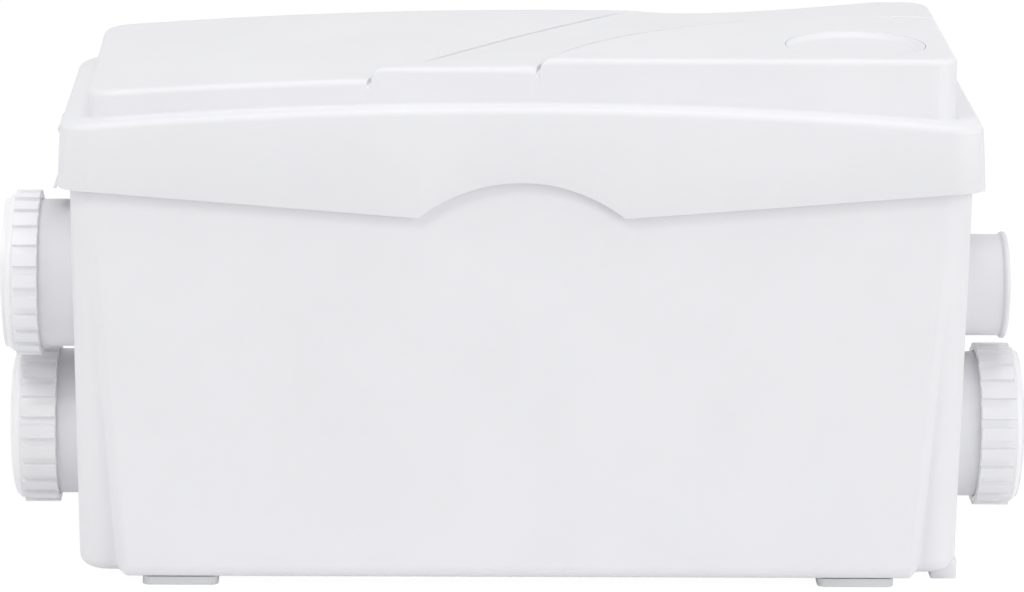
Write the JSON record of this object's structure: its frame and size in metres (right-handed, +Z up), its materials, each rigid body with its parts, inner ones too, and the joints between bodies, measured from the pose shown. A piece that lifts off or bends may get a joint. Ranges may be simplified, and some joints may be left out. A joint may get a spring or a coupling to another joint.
{
  "type": "sewage lifting station",
  "caption": "Compact pumped lifting station: moulded tank with lift-off lid, two pipe inlets, a capped inlet, a pumped outlet, pump and switch gear.",
  "frame": {"origin": "on the floor under the middle of the whole part", "axes": "+X to the outlet side, +Y to the back, +Z up"},
  "size_m": [0.408, 0.136, 0.2086],
  "materials": {
    "white_shell": "satin moulded",
    "white_fitting": "satin moulded",
    "pad": "matte",
    "rubber": "matte",
    "light_plastic": "satin",
    "dark_plastic": "satin",
    "steel": "brushed",
    "core_steel": "varnished",
    "copper": "lacquered winding",
    "aluminium": "cast",
    "carbon": "granular",
    "red_plastic": "satin"
  },
  "bodies": {
    "tank": {"tank_body": "white_shell", "feet_pads": "pad", "rim_gasket": "rubber", "upper_left_neck": "white_fitting", "lower_left_neck": "white_fitting", "lower_right_neck": "white_fitting", "flap_pins": "steel", "discharge_stub": "white_fitting", "discharge_grommet": "rubber", "check_valve_body": "dark_plastic", "check_flap_pin": "steel", "riser_pipe": "white_fitting", "riser_sleeve": "rubber", "sleeve_clamps": "steel", "motor_deck": "light_plastic", "deck_gasket": "rubber", "deck_screws": "steel", "deck_grommet": "rubber", "motor_housing": "aluminium", "motor_cover": "light_plastic", "motor_screws": "steel", "stator_core": "core_steel", "stator_windings": "copper", "bearings": "steel", "shaft_seal": "rubber", "volute_casing": "dark_plastic", "volute_base": "dark_plastic", "volute_screws": "steel", "pressure_bell": "light_plastic", "diaphragm_housing": "light_plastic", "diaphragm": "rubber", "microswitch": "dark_plastic", "capacitor": "light_plastic", "capacitor_saddle": "dark_plastic", "terminal_block": "light_plastic", "cable_gland": "white_fitting", "gland_nut": "white_fitting"},
    "lid": {"lid_cover": "white_shell", "clip_pins": "steel"},
    "cap_in_lid": {"filter_cap": "white_shell", "carbon_filter": "carbon"},
    "left_clip": {"left_clip": "white_shell"},
    "right_clip": {"right_clip": "white_shell"},
    "upper_left_seal": {"upper_left_seal": "rubber"},
    "upper_left_cap": {"upper_left_cap": "white_fitting"},
    "lower_left_seals": {"lower_left_cone_seal": "rubber", "lower_left_slip_ring": "light_plastic"},
    "lower_left_nut": {"lower_left_nut": "white_fitting"},
    "lower_right_seals": {"lower_right_cone_seal": "rubber", "lower_right_slip_ring": "light_plastic"},
    "lower_right_nut": {"lower_right_nut": "white_fitting"},
    "upper_left_flap": {"upper_left_flap": "rubber"},
    "lower_left_flap": {"lower_left_flap": "rubber"},
    "lower_right_flap": {"lower_right_flap": "rubber"},
    "check_flap": {"check_flap": "rubber"},
    "pump_rotor": {"rotor_core": "core_steel", "pump_shaft": "steel", "impeller": "dark_plastic", "impeller_nut": "steel"},
    "switch_plunger": {"switch_plunger": "red_plastic"}
  },
  "joints": [
    {"name": "lid_lift", "type": "slide", "parent": "tank", "child": "lid", "axis": [0, 0, 1], "range_m": [0, 0.06]},
    {"name": "left_clip_swing", "type": "hinge", "parent": "lid", "child": "left_clip", "pos_m": [-0.1781, 0, 0.17], "axis": [0, 1, 0], "range_deg": [0, 60]},
    {"name": "right_clip_swing", "type": "hinge", "parent": "lid", "child": "right_clip", "pos_m": [0.1781, 0, 0.17], "axis": [0, -1, 0], "range_deg": [0, 60]},
    {"name": "filter_cap_turn", "type": "hinge", "parent": "lid", "child": "cap_in_lid", "pos_m": [0.1286, -0.0297, 0.206], "axis": [0, 0, 1], "range_deg": [0, 45]},
    {"name": "upper_left_cap_travel", "type": "slide", "parent": "tank", "child": "upper_left_seal", "axis": [-1, 0, 0], "range_m": [0, 0.01]},
    {"name": "upper_left_cap_turn", "type": "hinge", "parent": "upper_left_seal", "child": "upper_left_cap", "pos_m": [-0.1987, -0.008, 0.1117], "axis": [-1, 0, 0], "range_deg": [0, 720]},
    {"name": "lower_left_nut_travel", "type": "slide", "parent": "tank", "child": "lower_left_seals", "axis": [-1, 0, 0], "range_m": [0, 0.01]},
    {"name": "lower_left_nut_turn", "type": "hinge", "parent": "lower_left_seals", "child": "lower_left_nut", "pos_m": [-0.1965, 0.016, 0.0445], "axis": [-1, 0, 0], "range_deg": [0, 720]},
    {"name": "lower_right_nut_travel", "type": "slide", "parent": "tank", "child": "lower_right_seals", "axis": [1, 0, 0], "range_m": [0, 0.01]},
    {"name": "lower_right_nut_turn", "type": "hinge", "parent": "lower_right_seals", "child": "lower_right_nut", "pos_m": [0.1982, 0.016, 0.0445], "axis": [1, 0, 0], "range_deg": [0, 720]},
    {"name": "upper_left_flap_swing", "type": "hinge", "parent": "tank", "child": "upper_left_flap", "pos_m": [-0.1635, -0.008, 0.1382], "axis": [0, -1, 0], "range_deg": [0, 50]},
    {"name": "lower_left_flap_swing", "type": "hinge", "parent": "tank", "child": "lower_left_flap", "pos_m": [-0.1635, 0.016, 0.071], "axis": [0, -1, 0], "range_deg": [0, 50]},
    {"name": "lower_right_flap_swing", "type": "hinge", "parent": "tank", "child": "lower_right_flap", "pos_m": [0.1635, 0.016, 0.071], "axis": [0, 1, 0], "range_deg": [0, 50]},
    {"name": "check_flap_swing", "type": "hinge", "parent": "tank", "child": "check_flap", "pos_m": [0.1405, 0.01, 0.1215], "axis": [0, -1, 0], "range_deg": [0, 40]},
    {"name": "pump_spin", "type": "hinge", "parent": "tank", "child": "pump_rotor", "pos_m": [-0.02, -0.014, 0.1], "axis": [0, 0, 1], "continuous": true},
    {"name": "plunger_press", "type": "slide", "parent": "tank", "child": "switch_plunger", "axis": [0, 0, 1], "range_m": [0, 0.0012], "stiffness_N_per_m": 400}
  ],
  "couplings": [
    {"joint": "upper_left_cap_travel", "follows": "upper_left_cap_turn", "m_per_rad": 0.00079577},
    {"joint": "lower_left_nut_travel", "follows": "lower_left_nut_turn", "m_per_rad": 0.00079577},
    {"joint": "lower_right_nut_travel", "follows": "lower_right_nut_turn", "m_per_rad": 0.00079577}
  ]
}
